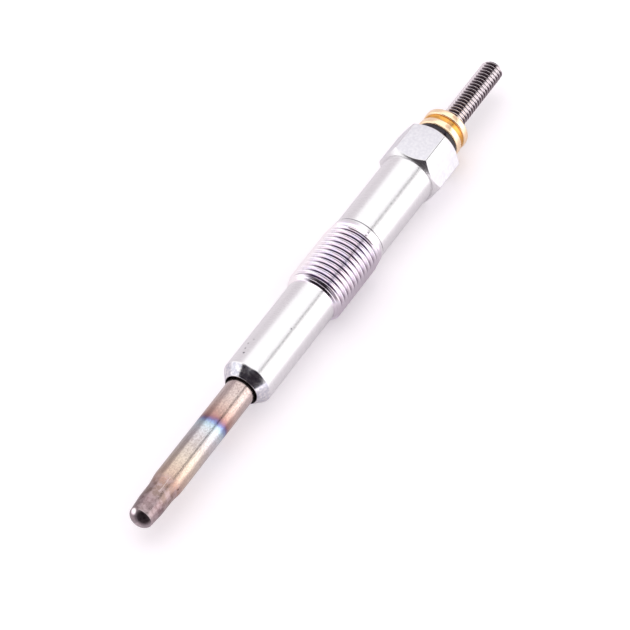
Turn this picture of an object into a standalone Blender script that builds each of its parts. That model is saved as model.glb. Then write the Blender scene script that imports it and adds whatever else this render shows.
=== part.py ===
"""A diesel glow plug, lying on one flat of its hexagon.

The plug is a row of turned pieces on one axis. Each piece is drawn as a
section of (station, radius) points and spun about its own Z axis, with the
pole of the heater's nose at station zero and the terminal at the far end.
The empty plug_axis then lays that axis along X, tip towards -X.
"""

import math

import bmesh
import bpy

MM = 0.001

# Heater sheath: the closed tube that glows
sheath_diameter = 4.88 * MM
swage_reduction = 0.54 * MM
nose_reduction = 0.46 * MM
nose_height = 1.0 * MM
nose_taper = 2.75 * MM
neck_length = 2.5 * MM
swage_length = 2.6 * MM
sheath_reach = 29.55 * MM
sheath_insertion = 13.0 * MM
sheath_wall = 0.6 * MM
sheath_rim = 0.15 * MM
nose_wall = 0.9 * MM

# Heater inside the sheath: two wire coils packed in insulating powder
wire_diameter = 0.32 * MM
powder_wall = 0.26 * MM
lead_length = 2.0 * MM
lead_turns = 1.5
heating_turns = 11
heating_pitch = 0.8 * MM
wire_bend = 0.45 * MM
powder_web = 0.7 * MM
passage_reach = 0.3 * MM
control_turns = 13
control_pitch = 0.9 * MM
turns_on_spigot = 3
seal_length = 2.4 * MM

# Shell: one steel turning with the sealing cone, the thread and the hexagon
cone_length = 1.55 * MM
cone_land = 0.13 * MM
cone_blend = 0.2 * MM
mouth_gap = 0.38 * MM
mouth_depth = 2.4 * MM
lower_shank_diameter = 8.46 * MM
lower_shank_length = 19.1 * MM
thread_diameter = 9.96 * MM
thread_front_diameter = 9.52 * MM
thread_chamfer = 0.65 * MM
thread_lead = 0.85 * MM
thread_length = 10.8 * MM
thread_tail = 2.55 * MM
thread_collar_diameter = 9.24 * MM
thread_collar_length = 0.2 * MM
upper_shank_diameter = 9.02 * MM
upper_shank_length = 15.75 * MM
hexagon_flats = 10.0 * MM
hexagon_corner_trim = 0.055 * MM
hexagon_length = 7.9 * MM
hexagon_chamfer = 0.85 * MM
hexagon_chamfer_depth = 0.97 * MM
bore_reach = 1.0 * MM
counterbore_depth = 4.2 * MM
thread_pitch = 1.0 * MM
thread_depth = 0.61 * MM
thread_entry = 0.245

# Terminal end: rod, seal, insulator and round nut
rod_diameter = 3.5 * MM
rod_powder_wall = 0.5 * MM
rod_step = 1.2 * MM
spigot_chamfer = 0.15 * MM
stud_diameter = 3.88 * MM
stud_reach = 15.8 * MM
stud_chamfer = 0.62 * MM
stud_pitch = 0.7 * MM
stud_thread_depth = 0.43 * MM
stud_thread_under_nut = 1.9 * MM
stud_entry = 0.22
o_ring_cord = 1.2 * MM
insulator_diameter = 7.7 * MM
insulator_thickness = 1.6 * MM
insulator_rounding = 0.22 * MM
nut_diameter = 7.94 * MM
nut_length = 3.7 * MM
nut_groove_depth = 0.4 * MM
nut_groove_width = 1.1 * MM
nut_front_ridge = 1.35 * MM
nut_rounding = 0.3 * MM

# Clearances between neighbouring pieces
press_gap = 0.04 * MM
wire_gap = 0.06 * MM
face_gap = 0.05 * MM

# Facets round each kind of piece
shell_sides = 36
tube_sides = 36
rod_sides = 24
wire_sides = 6
wire_steps_per_turn = 12


# Radii that follow from the diameters above
sheath_r = sheath_diameter / 2
neck_r = sheath_r - swage_reduction / 2
nose_r = neck_r - nose_reduction / 2
wire_r = wire_diameter / 2
neck_bore_r = neck_r - sheath_wall
sheath_bore_r = sheath_r - sheath_wall
coil_r = neck_bore_r - press_gap - powder_wall - wire_gap - wire_r
spigot_r = coil_r - wire_r - wire_gap
rod_front_r = sheath_bore_r - press_gap - rod_powder_wall - press_gap
rod_r = rod_diameter / 2
stud_r = stud_diameter / 2
shell_bore_r = sheath_r + press_gap
mouth_r = sheath_r + mouth_gap
cone_front_r = mouth_r + cone_land
hexagon_r = hexagon_flats / 2
hexagon_corner_r = hexagon_r / math.cos(math.pi / 6) - hexagon_corner_trim
hexagon_face_r = hexagon_corner_r - hexagon_chamfer_depth
counterbore_r = rod_r + press_gap + o_ring_cord + press_gap

# Stations along the axis that follow from the lengths above
sheath_rear = sheath_reach + sheath_insertion
powder_front = nose_wall + press_gap
cavity_front = powder_front + lead_length
heating_start = cavity_front + wire_gap + wire_r
heating_end = heating_start + heating_turns * heating_pitch
web_front = heating_end + wire_bend + wire_r
web_rear = web_front + powder_web
control_start = web_rear + wire_bend + wire_r
control_end = control_start + control_turns * control_pitch
spigot_front = control_end - turns_on_spigot * control_pitch
rod_shoulder = control_end + wire_r + wire_gap
seal_front = sheath_rear - face_gap - seal_length
cone_rear = sheath_reach + cone_length
thread_start = cone_rear + lower_shank_length
chamfer_end = thread_start + thread_chamfer
crest_start = chamfer_end + thread_lead
crest_end = crest_start + thread_length
collar_start = crest_end + thread_tail
thread_end = collar_start + thread_collar_length
hexagon_front = thread_end + upper_shank_length
hexagon_rear = hexagon_front + hexagon_length
counterbore_floor = hexagon_rear - counterbore_depth
insulator_neck_front = counterbore_floor + face_gap + o_ring_cord + face_gap
insulator_front = hexagon_rear + face_gap
insulator_rear = insulator_front + insulator_thickness
nut_front = insulator_rear + face_gap
nut_rear = nut_front + nut_length
plug_length = nut_rear + stud_reach
stud_thread_front = nut_rear - stud_thread_under_nut
axis_height = max(hexagon_flats, thread_diameter) / 2


def clear_scene():
    for old in list(bpy.data.objects):
        bpy.data.objects.remove(old, do_unlink=True)


def finish(name, colour, roughness, metallic):
    """A plain Principled material."""
    material = bpy.data.materials.new(name)
    material.use_nodes = True
    shader = material.node_tree.nodes["Principled BSDF"]
    shader.inputs["Base Color"].default_value = (*colour, 1.0)
    shader.inputs["Roughness"].default_value = roughness
    shader.inputs["Metallic"].default_value = metallic
    return material


def arc(station, radius, bend, start, end, steps):
    """Points of a round corner of radius bend about (station, radius).

    An angle of zero points to the terminal and 90 degrees points away from the axis.
    """
    angles = [start + (end - start) * i / steps for i in range(steps + 1)]
    turns = [math.radians(angle) for angle in angles]
    return [(station + bend * math.cos(t), radius + bend * math.sin(t)) for t in turns]


def place(name, mesh, material):
    """Put a mesh on the plug's axis as a named piece."""
    mesh.materials.append(material)
    piece = bpy.data.objects.new(name, mesh)
    bpy.context.collection.objects.link(piece)
    piece.parent = bpy.data.objects["plug_axis"]
    return piece


def finished(name, shape, material):
    """Join a shape's seams, turn its faces outwards and put it on the axis."""
    bmesh.ops.remove_doubles(shape, verts=shape.verts, dist=0.001 * MM)
    bmesh.ops.recalc_face_normals(shape, faces=shape.faces)
    mesh = bpy.data.meshes.new(name)
    shape.to_mesh(mesh)
    shape.free()
    mesh.shade_smooth()
    mesh.set_sharp_from_angle(angle=math.radians(30))
    return place(name, mesh, material)


def turned(name, section, sides, material, closed=True, first_angle=0.0):
    """Spin a section of (station, radius) points once about the axis."""
    shape = bmesh.new()
    across = math.cos(first_angle)
    up = math.sin(first_angle)
    ring = [shape.verts.new((radius * across, radius * up, station)) for station, radius in section]
    edges = [shape.edges.new(pair) for pair in zip(ring, ring[1:])]
    if closed:
        edges.append(shape.edges.new((ring[-1], ring[0])))
    bmesh.ops.spin(
        shape,
        geom=ring + edges,
        cent=(0.0, 0.0, 0.0),
        axis=(0.0, 0.0, 1.0),
        angle=2 * math.pi,
        steps=sides,
        use_merge=True,
    )
    return finished(name, shape, material)


def radius_at(line, station):
    """Radius at a station on a line of (station, radius) points, straight between them."""
    for (front, front_r), (rear, rear_r) in zip(line, line[1:]):
        if station <= rear:
            return front_r + (rear_r - front_r) * (station - front) / (rear - front)
    return line[-1][1]


def thread_points(crest, root, pitch, turns_on):
    """Crest and root points of a right-handed thread, as seen at one angle about the axis.

    They lie half a pitch apart and move on by one pitch in a turn. Points that pass an end
    of the crest line stay at that end, so the thread runs out there.
    """
    start = crest[0][0]
    end = crest[-1][0]
    points = []
    for i in range(2 * math.ceil((end - start) / pitch) + 5):
        station = min(max(start + (i / 2 - 2 + turns_on) * pitch, start), end)
        radius = radius_at(crest, station)
        if i % 2 == 0:
            radius = min(radius, radius_at(root, station))
        points.append((station, radius))
    return points


def threaded(name, before, crest, root, pitch, entry, after, sides, material):
    """Sweep a section once about the axis, while the thread in its middle moves on.

    The entry is the share of a turn by which the groove starts late.
    """
    shape = bmesh.new()
    columns = []
    for i in range(sides + 1):
        share = i / sides
        across = math.cos(2 * math.pi * share)
        up = math.sin(2 * math.pi * share)
        section = before + thread_points(crest, root, pitch, entry + share) + after
        columns.append([shape.verts.new((r * across, r * up, s)) for s, r in section])
    for column, beside in zip(columns, columns[1:]):
        for corners in zip(column, column[1:], beside[1:], beside):
            shape.faces.new(corners)
    return finished(name, shape, material)


def cutter(piece):
    """Mark a piece as a tool that shapes another one."""
    piece.hide_render = True
    piece.display_type = "WIRE"
    return piece


def combine(piece, tool, operation):
    step = piece.modifiers.new(tool.name, "BOOLEAN")
    step.operation = operation
    step.solver = "EXACT"
    step.object = tool


def sheath_side(inset):
    """The sheath's side from its widest part down to the neck's front, moved in by inset."""
    neck_front = nose_height + nose_taper
    neck_rear = neck_front + neck_length
    swage_rear = neck_rear + swage_length
    steps = 4
    swage = []
    for i in range(steps + 1):
        share = i / steps
        blend = share * share * (3 - 2 * share)
        swage.append((swage_rear - share * swage_length, sheath_r - blend * (sheath_r - neck_r) - inset))
    return swage + [(neck_front, neck_r - inset)]


def nose_cap(pole, rim_station, rim_radius, steps):
    """A spherical cap from its rim down to its pole on the axis."""
    height = rim_station - pole
    ball = (rim_radius * rim_radius + height * height) / (2 * height)
    widest = 2 * math.atan(height / rim_radius)
    angles = [widest * (1 - i / steps) for i in range(steps + 1)]
    return [(pole + ball * (1 - math.cos(a)), ball * math.sin(a)) for a in angles]


def make_sheath(material):
    """The closed tube: its bore from the nose to the open end, then its outside back again."""
    inner_nose = nose_cap(nose_wall, nose_height + nose_wall, nose_r - sheath_wall, 3)
    section = list(reversed(inner_nose))
    section += list(reversed(sheath_side(sheath_wall)))
    section += [
        (sheath_rear, sheath_bore_r),
        (sheath_rear, sheath_r - sheath_rim),
        (sheath_rear - sheath_rim, sheath_r),
    ]
    section += sheath_side(0.0)
    section += nose_cap(0.0, nose_height, nose_r, 7)
    return turned("heater_sheath", section, tube_sides, material, closed=False)


def make_powder(material):
    """Packed powder: a sleeve, a core inside the coils and the web that joins them."""
    outer_inset = sheath_wall + press_gap
    slot_outer_r = coil_r + wire_r + wire_gap
    slot_inner_r = coil_r - wire_r - wire_gap
    lead_hole_r = wire_r + wire_gap
    rod_hole_r = rod_front_r + press_gap
    core_front = heating_start + wire_gap
    core_rear = spigot_front - face_gap
    slot_rear = rod_shoulder - face_gap
    rear = seal_front - face_gap
    powder_rim = nose_height + nose_wall + press_gap
    section = [
        (core_rear, 0.0),
        (core_rear, slot_inner_r),
        (web_rear, slot_inner_r),
        (web_rear, slot_outer_r),
        (slot_rear, slot_outer_r),
        (slot_rear, rod_hole_r),
        (rear, rod_hole_r),
        (rear, sheath_bore_r - press_gap),
    ]
    section += sheath_side(outer_inset)
    section += nose_cap(powder_front, powder_rim, nose_r - outer_inset, 3)[:-1]
    section += [
        (powder_front, lead_hole_r),
        (cavity_front, slot_outer_r),
        (web_front, slot_outer_r),
        (web_front, slot_inner_r),
        (core_front, slot_inner_r),
        (core_front, 0.0),
    ]
    powder = turned("insulating_powder", section, rod_sides, material, closed=False)
    passage = joint_passage(material)
    combine(powder, passage, "DIFFERENCE")
    return powder


def helix_point(radius, angle, station):
    return (radius * math.cos(angle), radius * math.sin(angle), station)


def joint_angle():
    """Angle at which the heating coil's wire turns to run along the axis."""
    return 2 * math.pi * heating_turns + wire_bend / coil_r


def joint_passage(material):
    """The hole through the web where the two coils are welded together."""
    hole_r = wire_r + wire_gap
    section = [
        (web_rear + passage_reach, 0.0),
        (web_rear + passage_reach, hole_r),
        (web_front - passage_reach, hole_r),
        (web_front - passage_reach, 0.0),
    ]
    passage = turned("joint_passage", section, 2 * wire_sides, material, closed=False)
    x, y, z = helix_point(coil_r, joint_angle(), 0.0)
    passage.location = (x, y, z)
    return cutter(passage)


def coil_turns(first_angle, start, turns, pitch):
    """Evenly spaced points on a helix of the coil's radius."""
    count = max(2, round(turns * wire_steps_per_turn))
    shares = [i / count for i in range(count + 1)]
    return [
        helix_point(coil_r, first_angle + 2 * math.pi * turns * share, start + turns * pitch * share)
        for share in shares
    ]


def bend_points(corner_angle, start, direction, steps=4):
    """A quarter bend on the coil's cylinder, from round the axis to along it."""
    points = []
    for i in range(1, steps + 1):
        turn = math.pi / 2 * i / steps
        angle = corner_angle + direction * wire_bend / coil_r * math.sin(turn)
        points.append(helix_point(coil_r, angle, start + direction * wire_bend * (1 - math.cos(turn))))
    return points


def make_wire(name, points, material):
    """A round wire along a list of points, closed at both ends."""
    curve = bpy.data.curves.new(name, "CURVE")
    curve.dimensions = "3D"
    curve.bevel_depth = wire_r
    curve.bevel_resolution = (wire_sides - 4) // 2
    curve.use_fill_caps = True
    spline = curve.splines.new("POLY")
    spline.points.add(len(points) - 1)
    for point, place_of_point in zip(spline.points, points):
        point.co = (*place_of_point, 1.0)
    curve.materials.append(material)
    wire = bpy.data.objects.new(name, curve)
    bpy.context.collection.objects.link(wire)
    wire.parent = bpy.data.objects["plug_axis"]
    return wire


def make_heating_coil(material):
    """The front coil: a widening lead from the nose, close turns and a straight tail."""
    lead_front = nose_wall + face_gap
    steps = round(lead_turns * wire_steps_per_turn)
    points = []
    for i in range(steps):
        share = i / steps
        angle = 2 * math.pi * lead_turns * (share * share - 1.0)
        station = lead_front + share * (heating_start - lead_front)
        points.append(helix_point(coil_r * share, angle, station))
    points += coil_turns(0.0, heating_start, heating_turns, heating_pitch)
    points += bend_points(2 * math.pi * heating_turns, heating_end, 1)
    weld = (web_front + web_rear - face_gap) / 2
    points.append(helix_point(coil_r, joint_angle(), weld))
    return make_wire("heating_coil", points, material)


def make_control_coil(material):
    """The rear coil: a straight start at the weld, then turns that grip the rod's spigot."""
    weld = (web_front + web_rear + face_gap) / 2
    first_angle = joint_angle() + wire_bend / coil_r
    bend = bend_points(first_angle, control_start, -1)
    points = [helix_point(coil_r, joint_angle(), weld)]
    points += list(reversed(bend))
    points += coil_turns(first_angle, control_start, control_turns, control_pitch)
    return make_wire("control_coil", points, material)


def make_sheath_seal(material):
    """The rubber ring that closes the sheath behind the powder."""
    rear = sheath_rear - face_gap
    section = [
        (seal_front, rod_front_r + press_gap),
        (rear, rod_front_r + press_gap),
        (rear, sheath_bore_r - press_gap),
        (seal_front, sheath_bore_r - press_gap),
    ]
    return turned("sheath_seal", section, rod_sides, material)


def make_centre_rod(material):
    """The rod from the coil to the outside, whose rear end is the terminal stud."""
    wide_start = sheath_rear + face_gap
    rod = [
        (spigot_front, 0.0),
        (spigot_front, spigot_r - spigot_chamfer),
        (spigot_front + spigot_chamfer, spigot_r),
        (rod_shoulder, spigot_r),
        (rod_shoulder, rod_front_r),
        (wide_start, rod_front_r),
        (wide_start + rod_step, rod_r),
        (insulator_front, rod_r),
        (insulator_front + stud_r - rod_r, stud_r),
    ]
    crest = [
        (stud_thread_front, stud_r),
        (plug_length - stud_chamfer, stud_r),
        (plug_length, stud_r - stud_chamfer),
    ]
    root = [
        (stud_thread_front, stud_r),
        (stud_thread_front + stud_pitch, stud_r - stud_thread_depth),
    ]
    end = [(plug_length, 0.0)]
    return threaded("centre_rod", rod, crest, root, stud_pitch, stud_entry, end, rod_sides, material)


def make_shell(material):
    """The outside turning, joined with its hexagon and bored through."""
    shank_r = upper_shank_diameter / 2
    lower_r = lower_shank_diameter / 2
    thread_r = thread_diameter / 2
    collar_r = thread_collar_diameter / 2
    root_r = thread_r - thread_depth
    blank_rear = (hexagon_front + hexagon_rear) / 2
    front = [
        (sheath_reach, 0.0),
        (sheath_reach, cone_front_r),
        (cone_rear, lower_r - cone_blend / 2),
        (cone_rear + cone_blend, lower_r),
    ]
    crest = [
        (thread_start, lower_r),
        (chamfer_end, thread_front_diameter / 2),
        (crest_start, thread_r),
        (crest_end, thread_r),
        (collar_start, collar_r),
    ]
    root = [
        (thread_start, root_r),
        (crest_end, root_r),
        (collar_start, collar_r),
    ]
    rear = [
        (thread_end - (collar_r - shank_r), collar_r),
        (thread_end, shank_r),
        (blank_rear, shank_r),
        (blank_rear, 0.0),
    ]
    shell = threaded("shell", front, crest, root, thread_pitch, thread_entry, rear, shell_sides, material)
    combine(shell, make_hexagon(material), "UNION")
    combine(shell, make_bore(material), "DIFFERENCE")
    return shell


def make_hexagon(material):
    """The hexagon: a six-sided bar whose corners are turned off to a cone at both ends."""
    sixth = math.pi / 6
    bar_r = hexagon_r / math.cos(sixth)
    bar_section = [
        (hexagon_rear, 0.0),
        (hexagon_rear, bar_r),
        (hexagon_front, bar_r),
        (hexagon_front, 0.0),
    ]
    bar = turned("hexagon", bar_section, 6, material, closed=False, first_angle=sixth)
    beyond = hexagon_chamfer
    beyond_r = hexagon_face_r - hexagon_chamfer_depth
    trim_section = [
        (hexagon_rear + beyond, 0.0),
        (hexagon_rear + beyond, beyond_r),
        (hexagon_rear - hexagon_chamfer, hexagon_corner_r),
        (hexagon_front + hexagon_chamfer, hexagon_corner_r),
        (hexagon_front - beyond, beyond_r),
        (hexagon_front - beyond, 0.0),
    ]
    trim = turned("hexagon_turning", trim_section, shell_sides, material, closed=False)
    combine(bar, cutter(trim), "INTERSECT")
    return cutter(bar)


def make_bore(material):
    """The way through the shell: wide at the mouth, and counterbored for the insulator."""
    section = [
        (hexagon_rear + bore_reach, 0.0),
        (hexagon_rear + bore_reach, counterbore_r),
        (counterbore_floor, counterbore_r),
        (counterbore_floor, shell_bore_r),
        (sheath_reach + mouth_depth, shell_bore_r),
        (sheath_reach + mouth_depth - mouth_gap, mouth_r),
        (sheath_reach - bore_reach, mouth_r),
        (sheath_reach - bore_reach, 0.0),
    ]
    return cutter(turned("shell_bore", section, shell_sides, material, closed=False))


def make_o_ring(material):
    """The rubber ring squeezed between rod and shell under the insulator."""
    cord_r = o_ring_cord / 2
    steps = 8
    middle = counterbore_floor + face_gap + cord_r
    section = arc(middle, rod_r + press_gap + cord_r, cord_r, 0, 360 - 360 / steps, steps - 1)
    return turned("o_ring", section, rod_sides, material)


def make_insulator(material):
    """The insulating bush: a neck in the counterbore and a flange on the hexagon."""
    hole_r = stud_r + press_gap
    flange_r = insulator_diameter / 2
    bend = insulator_rounding
    section = [(insulator_neck_front, hole_r), (insulator_rear, hole_r)]
    section += arc(insulator_rear - bend, flange_r - bend, bend, 0, 90, 2)
    section += [
        (insulator_front, flange_r),
        (insulator_front, counterbore_r - press_gap),
        (insulator_neck_front, counterbore_r - press_gap),
    ]
    return turned("insulator", section, tube_sides, material)


def make_round_nut(material):
    """The round nut that clamps the insulator, with one groove and rounded ridges."""
    hole_r = stud_r + press_gap
    outer_r = nut_diameter / 2
    groove_r = outer_r - nut_groove_depth
    groove_front = nut_front + nut_front_ridge
    groove_rear = groove_front + nut_groove_width
    edge = nut_rounding / 3
    bend = nut_rounding
    section = [(nut_front, hole_r), (nut_rear, hole_r)]
    section += arc(nut_rear - bend, outer_r - bend, bend, 0, 90, 2)
    section += [
        (groove_rear + edge, outer_r),
        (groove_rear, outer_r - edge),
        (groove_rear, groove_r),
        (groove_front, groove_r),
        (groove_front, outer_r - edge),
        (groove_front - edge, outer_r),
    ]
    section += arc(nut_front + bend, outer_r - bend, bend, 90, 180, 2)
    return turned("round_nut", section, tube_sides, material)


def main():
    clear_scene()
    axis = bpy.data.objects.new("plug_axis", None)
    axis.location = (-plug_length / 2, 0.0, axis_height)
    axis.rotation_euler = (0.0, math.pi / 2, 0.0)
    bpy.context.collection.objects.link(axis)

    plated_steel = finish("plated_steel", (0.78, 0.77, 0.78), 0.3, 1.0)
    hot_alloy = finish("hot_alloy", (0.52, 0.45, 0.42), 0.35, 1.0)
    coil_wire = finish("coil_wire", (0.5, 0.48, 0.45), 0.4, 1.0)
    white_powder = finish("white_powder", (0.85, 0.84, 0.8), 0.9, 0.0)
    dark_steel = finish("dark_steel", (0.3, 0.28, 0.29), 0.35, 1.0)
    black_rubber = finish("black_rubber", (0.02, 0.02, 0.022), 0.55, 0.0)
    black_plastic = finish("black_plastic", (0.03, 0.028, 0.032), 0.25, 0.0)
    yellow_brass = finish("yellow_brass", (0.85, 0.65, 0.36), 0.25, 1.0)

    make_sheath(hot_alloy)
    make_heating_coil(coil_wire)
    make_control_coil(coil_wire)
    make_powder(white_powder)
    make_sheath_seal(black_rubber)
    make_centre_rod(dark_steel)
    make_shell(plated_steel)
    make_o_ring(black_rubber)
    make_insulator(black_plastic)
    make_round_nut(yellow_brass)


main()
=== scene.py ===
# %% [markdown]
# # A diesel glow plug on a white table
#
# A glow plug heats a diesel engine's combustion chamber before a cold start.
# Its slim closed tube, the heater sheath, reaches into the chamber and glows.
# A plated steel shell holds the sheath, seals on a cone and screws into the
# cylinder head. A black bush and a brass round nut sit on its terminal stud.
#
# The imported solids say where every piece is. They are loaded first, as a fixed
# frame, and each piece below is made in that same frame, in metres.

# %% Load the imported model
import math

import bpy
import bmesh
import numpy as np
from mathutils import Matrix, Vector


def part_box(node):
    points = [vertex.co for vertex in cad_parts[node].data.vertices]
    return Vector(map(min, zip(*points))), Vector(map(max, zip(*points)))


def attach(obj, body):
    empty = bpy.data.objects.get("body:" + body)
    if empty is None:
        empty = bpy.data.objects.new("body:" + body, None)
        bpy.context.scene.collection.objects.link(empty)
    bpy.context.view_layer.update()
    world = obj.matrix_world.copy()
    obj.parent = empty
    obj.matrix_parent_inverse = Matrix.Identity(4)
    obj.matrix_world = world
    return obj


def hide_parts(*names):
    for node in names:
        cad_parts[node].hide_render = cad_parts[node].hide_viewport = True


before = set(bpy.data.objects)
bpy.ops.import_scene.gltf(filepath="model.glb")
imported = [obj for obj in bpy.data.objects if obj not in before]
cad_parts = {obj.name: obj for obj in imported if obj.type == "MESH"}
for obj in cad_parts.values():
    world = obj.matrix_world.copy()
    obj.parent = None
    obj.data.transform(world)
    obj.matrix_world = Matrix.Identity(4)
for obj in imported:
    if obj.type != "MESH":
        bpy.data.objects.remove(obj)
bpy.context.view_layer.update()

MM = 0.001
print("pieces in the frame:", ", ".join(sorted(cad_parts)))

# %% [markdown]
# ## Where the axis lies
#
# Nearly every surface of the plug is turned, so two numbers place everything:
# the x of the sheath's nose, where stations along the axis start, and the
# height of the axis above the table. Both are read from the solids. Stations
# and radii are written in millimetres from here on.

# %% Find the nose and the axis
sheath_low, sheath_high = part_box("heater_sheath")
nose_x = sheath_low.x
axis_z = (sheath_low.z + sheath_high.z) / 2
print(f"nose at x {nose_x / MM:.2f} mm, axis {axis_z / MM:.2f} mm above the table")

# %% [markdown]
# ## Camera
#
# A long lens from high on the nose's side. The plug then runs up the picture
# from lower left to upper right, and its nose comes slightly larger than its
# terminal.

# %% Put a thing in the scene
def link(name, data):
    """An object with this mesh, lamp or camera as its data, shown in the scene."""
    thing = bpy.data.objects.new(name, data)
    bpy.context.scene.collection.objects.link(thing)
    return thing


# %% Place the camera
aim = Vector((-3.980, -0.413, 1.30)) * MM
camera_heading = math.radians(30.73)
camera_elevation = math.radians(49.57)
camera_distance = 533.7 * MM
away = Vector((
    -math.cos(camera_heading) * math.cos(camera_elevation),
    -math.sin(camera_heading) * math.cos(camera_elevation),
    math.sin(camera_elevation),
))
camera_data = bpy.data.cameras.new("camera")
camera_data.sensor_width = 36.0
camera_data.lens = 193.23
camera_data.clip_start = 0.01
camera_data.clip_end = 20.0
camera = link("camera", camera_data)
camera.location = aim + away * camera_distance
camera.rotation_mode = "QUATERNION"
camera.rotation_quaternion = (-away).to_track_quat("-Z", "Y")
bpy.context.scene.camera = camera
print(f"camera {camera_distance:.3f} m from the plug, with a lens of {camera_data.lens:.0f} mm")

# %% [markdown]
# ## A grid round the axis
#
# A turned piece is one grid of points. Its rows are rings, each with a station
# and a radius, and its columns are angles. Where a ring's station or radius
# changes with the angle, the same grid also makes a hexagon or a screw thread,
# so one small helper makes every piece that shows.

# %% Make a skin from rings
WELD = 0.0002 * MM
SHARP = math.radians(40)


def skin(name, stations, radii, angles, closed):
    """A closed surface of rings round the plug's axis.

    A point at station s, radius r and angle a lies at
    x = nose + s, y = r sin a, z = axis + r cos a, so angle 0 is straight up.
    A closed skin joins its last ring to its first; an open one ends in poles.
    """
    rings, columns = stations.shape
    x = nose_x + stations
    y = radii * np.sin(angles)
    z = axis_z + radii * np.cos(angles)
    points = np.stack((x, y, z), axis=-1).reshape(-1, 3)
    first = np.arange(rings if closed else rings - 1)[:, None]
    column = np.arange(columns)[None, :]
    after = (first + 1) % rings
    beside = (column + 1) % columns
    corners = (
        first * columns + column,
        after * columns + column,
        after * columns + beside,
        first * columns + beside,
    )
    faces = np.stack(corners, axis=-1).reshape(-1, 4)
    mesh = bpy.data.meshes.new(name)
    mesh.from_pydata(points.tolist(), [], faces.tolist())
    weld_and_shade(mesh)
    return link(name, mesh)


def weld_and_shade(mesh):
    """Close the poles and shade the mesh smooth up to its sharp edges."""
    shape = bmesh.new()
    shape.from_mesh(mesh)
    bmesh.ops.remove_doubles(shape, verts=shape.verts, dist=WELD)
    shape.to_mesh(mesh)
    shape.free()
    mesh.shade_smooth()
    mesh.set_sharp_from_angle(angle=SHARP)


def stand_for(piece, node):
    """The piece takes the place of a solid of the frame and rides where it does."""
    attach(piece, "root")
    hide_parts(node)
    faces = sum(len(face.vertices) - 2 for face in piece.data.polygons)
    print(f"{piece.name}: {faces} triangles")


# %% [markdown]
# ## Profiles with eased edges
#
# No machined edge is perfectly sharp, and after plating it is rounder still.
# That thin round is what catches the light along an edge. So a profile is
# written as corner points, and each corner is swapped for a short curve.

# %% Ease the corners of a profile
EASE_STEPS = 3


def eased(corners, angles, closed):
    """Rings of a profile whose corners are (station, radius, ease) in mm.

    Each corner P becomes the curve (1-t)^2 A + 2t(1-t) P + t^2 B, where A and B
    lie at the ease's distance from P towards the corners before and after it.
    Stations and radii may be one number or one number for every angle.
    """
    place = np.array([
        np.broadcast_arrays(station, radius, angles)[:2] for station, radius, _ in corners
    ])
    ease = np.array([corner[2] for corner in corners])
    rings = []
    for i, here in enumerate(place):
        has_both = closed or 0 < i < len(place) - 1
        if ease[i] == 0 or not has_both:
            rings.append(here)
            continue
        before = place[i - 1] - here
        after = place[(i + 1) % len(place)] - here
        start = here + before * shortened(before, ease[i])
        end = here + after * shortened(after, ease[i])
        for t in np.linspace(0, 1, EASE_STEPS + 1):
            rings.append((1 - t) ** 2 * start + 2 * t * (1 - t) * here + t * t * end)
    rings = np.array(rings) * MM
    return rings[:, 0], rings[:, 1]


def shortened(step, ease):
    """How much of a step an eased corner takes: the ease, and never past halfway."""
    length = np.hypot(step[0], step[1])
    return np.minimum(ease / np.maximum(length, 1e-9), 0.5)


def turned(name, profile, angles, closed):
    """A piece turned from a profile with eased corners."""
    stations, radii = eased(profile, angles, closed)
    return skin(name, stations, radii, angles, closed)


# %% [markdown]
# ## Screw threads
#
# A real thread is one groove wound round the piece. On the grid it needs no
# cutting tool: the groove's place at a ring is its station plus the share of a
# turn, and the radius drops by the thread's depth there. The flanks are straight
# and stand at nearly 60 degrees to each other. The crest is hardly rounded and
# the root is rounder, as they are on a rolled thread.

# %% Work out a thread's groove
CREST = 0.13  # share of the pitch that is crest
ROOT = 0.25  # share of the pitch that is root
CREST_ROUND = 0.035  # softness of the flank's two corners, as shares of the flank
ROOT_ROUND = 0.10


def groove(station, angle, pitch, phase):
    """Depth of a right-handed groove, from 0 on the crest to 1 in the root.

    The turn count is station / pitch + angle / 2 pi + phase. Its distance from
    a whole number, d, is 0 in the root's middle and 0.5 on the crest's, and x
    runs from 0 to 1 down the flank. The depth is x between two soft corners:
    e log(1 + exp(x / e)) starts it at the crest with a small e, and the same
    with x - 1 and a larger e is taken off, which ends it in the root.
    """
    turn = station / pitch + angle / (2 * np.pi) + phase
    d = np.abs(turn - np.round(turn))
    x = (0.5 - CREST / 2 - d) / (0.5 - CREST / 2 - ROOT / 2)
    start = CREST_ROUND * np.logaddexp(0, x / CREST_ROUND)
    return start - ROOT_ROUND * np.logaddexp(0, (x - 1) / ROOT_ROUND)


def threaded(stations, angles, crest, root, pitch, phase):
    """Corners of a thread: the radius is crest - (crest - root) * depth of the groove.

    Crest and root are radii at each station, and the root is never above the crest.
    """
    root = np.minimum(root, crest)
    depth = groove(stations[:, None], angles[None, :], pitch, phase)
    radii = crest[:, None] - (crest - root)[:, None] * depth
    return [(s, r, 0.0) for s, r in zip(stations, radii)]


# %% [markdown]
# ## Shell
#
# The shell is a single steel turning. From the nose's side it has an open mouth
# round the sheath, the cone that seals in the cylinder head, the lower shank,
# the M10 thread, the upper shank and the 10 mm hexagon. The thread starts on a
# short cone and ends in a plain collar with a narrow undercut behind it. A bore
# goes right through the shell.
#
# The hexagon is the ring's radius as a function of angle: half the width across
# flats, divided by the cosine of the angle from the flat's middle, and cut off
# at the turned corners. Its end chamfers are cones, and the curved edges where
# they meet the flats come from moving the ring along the axis by how far the
# hexagon stands out there.

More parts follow.
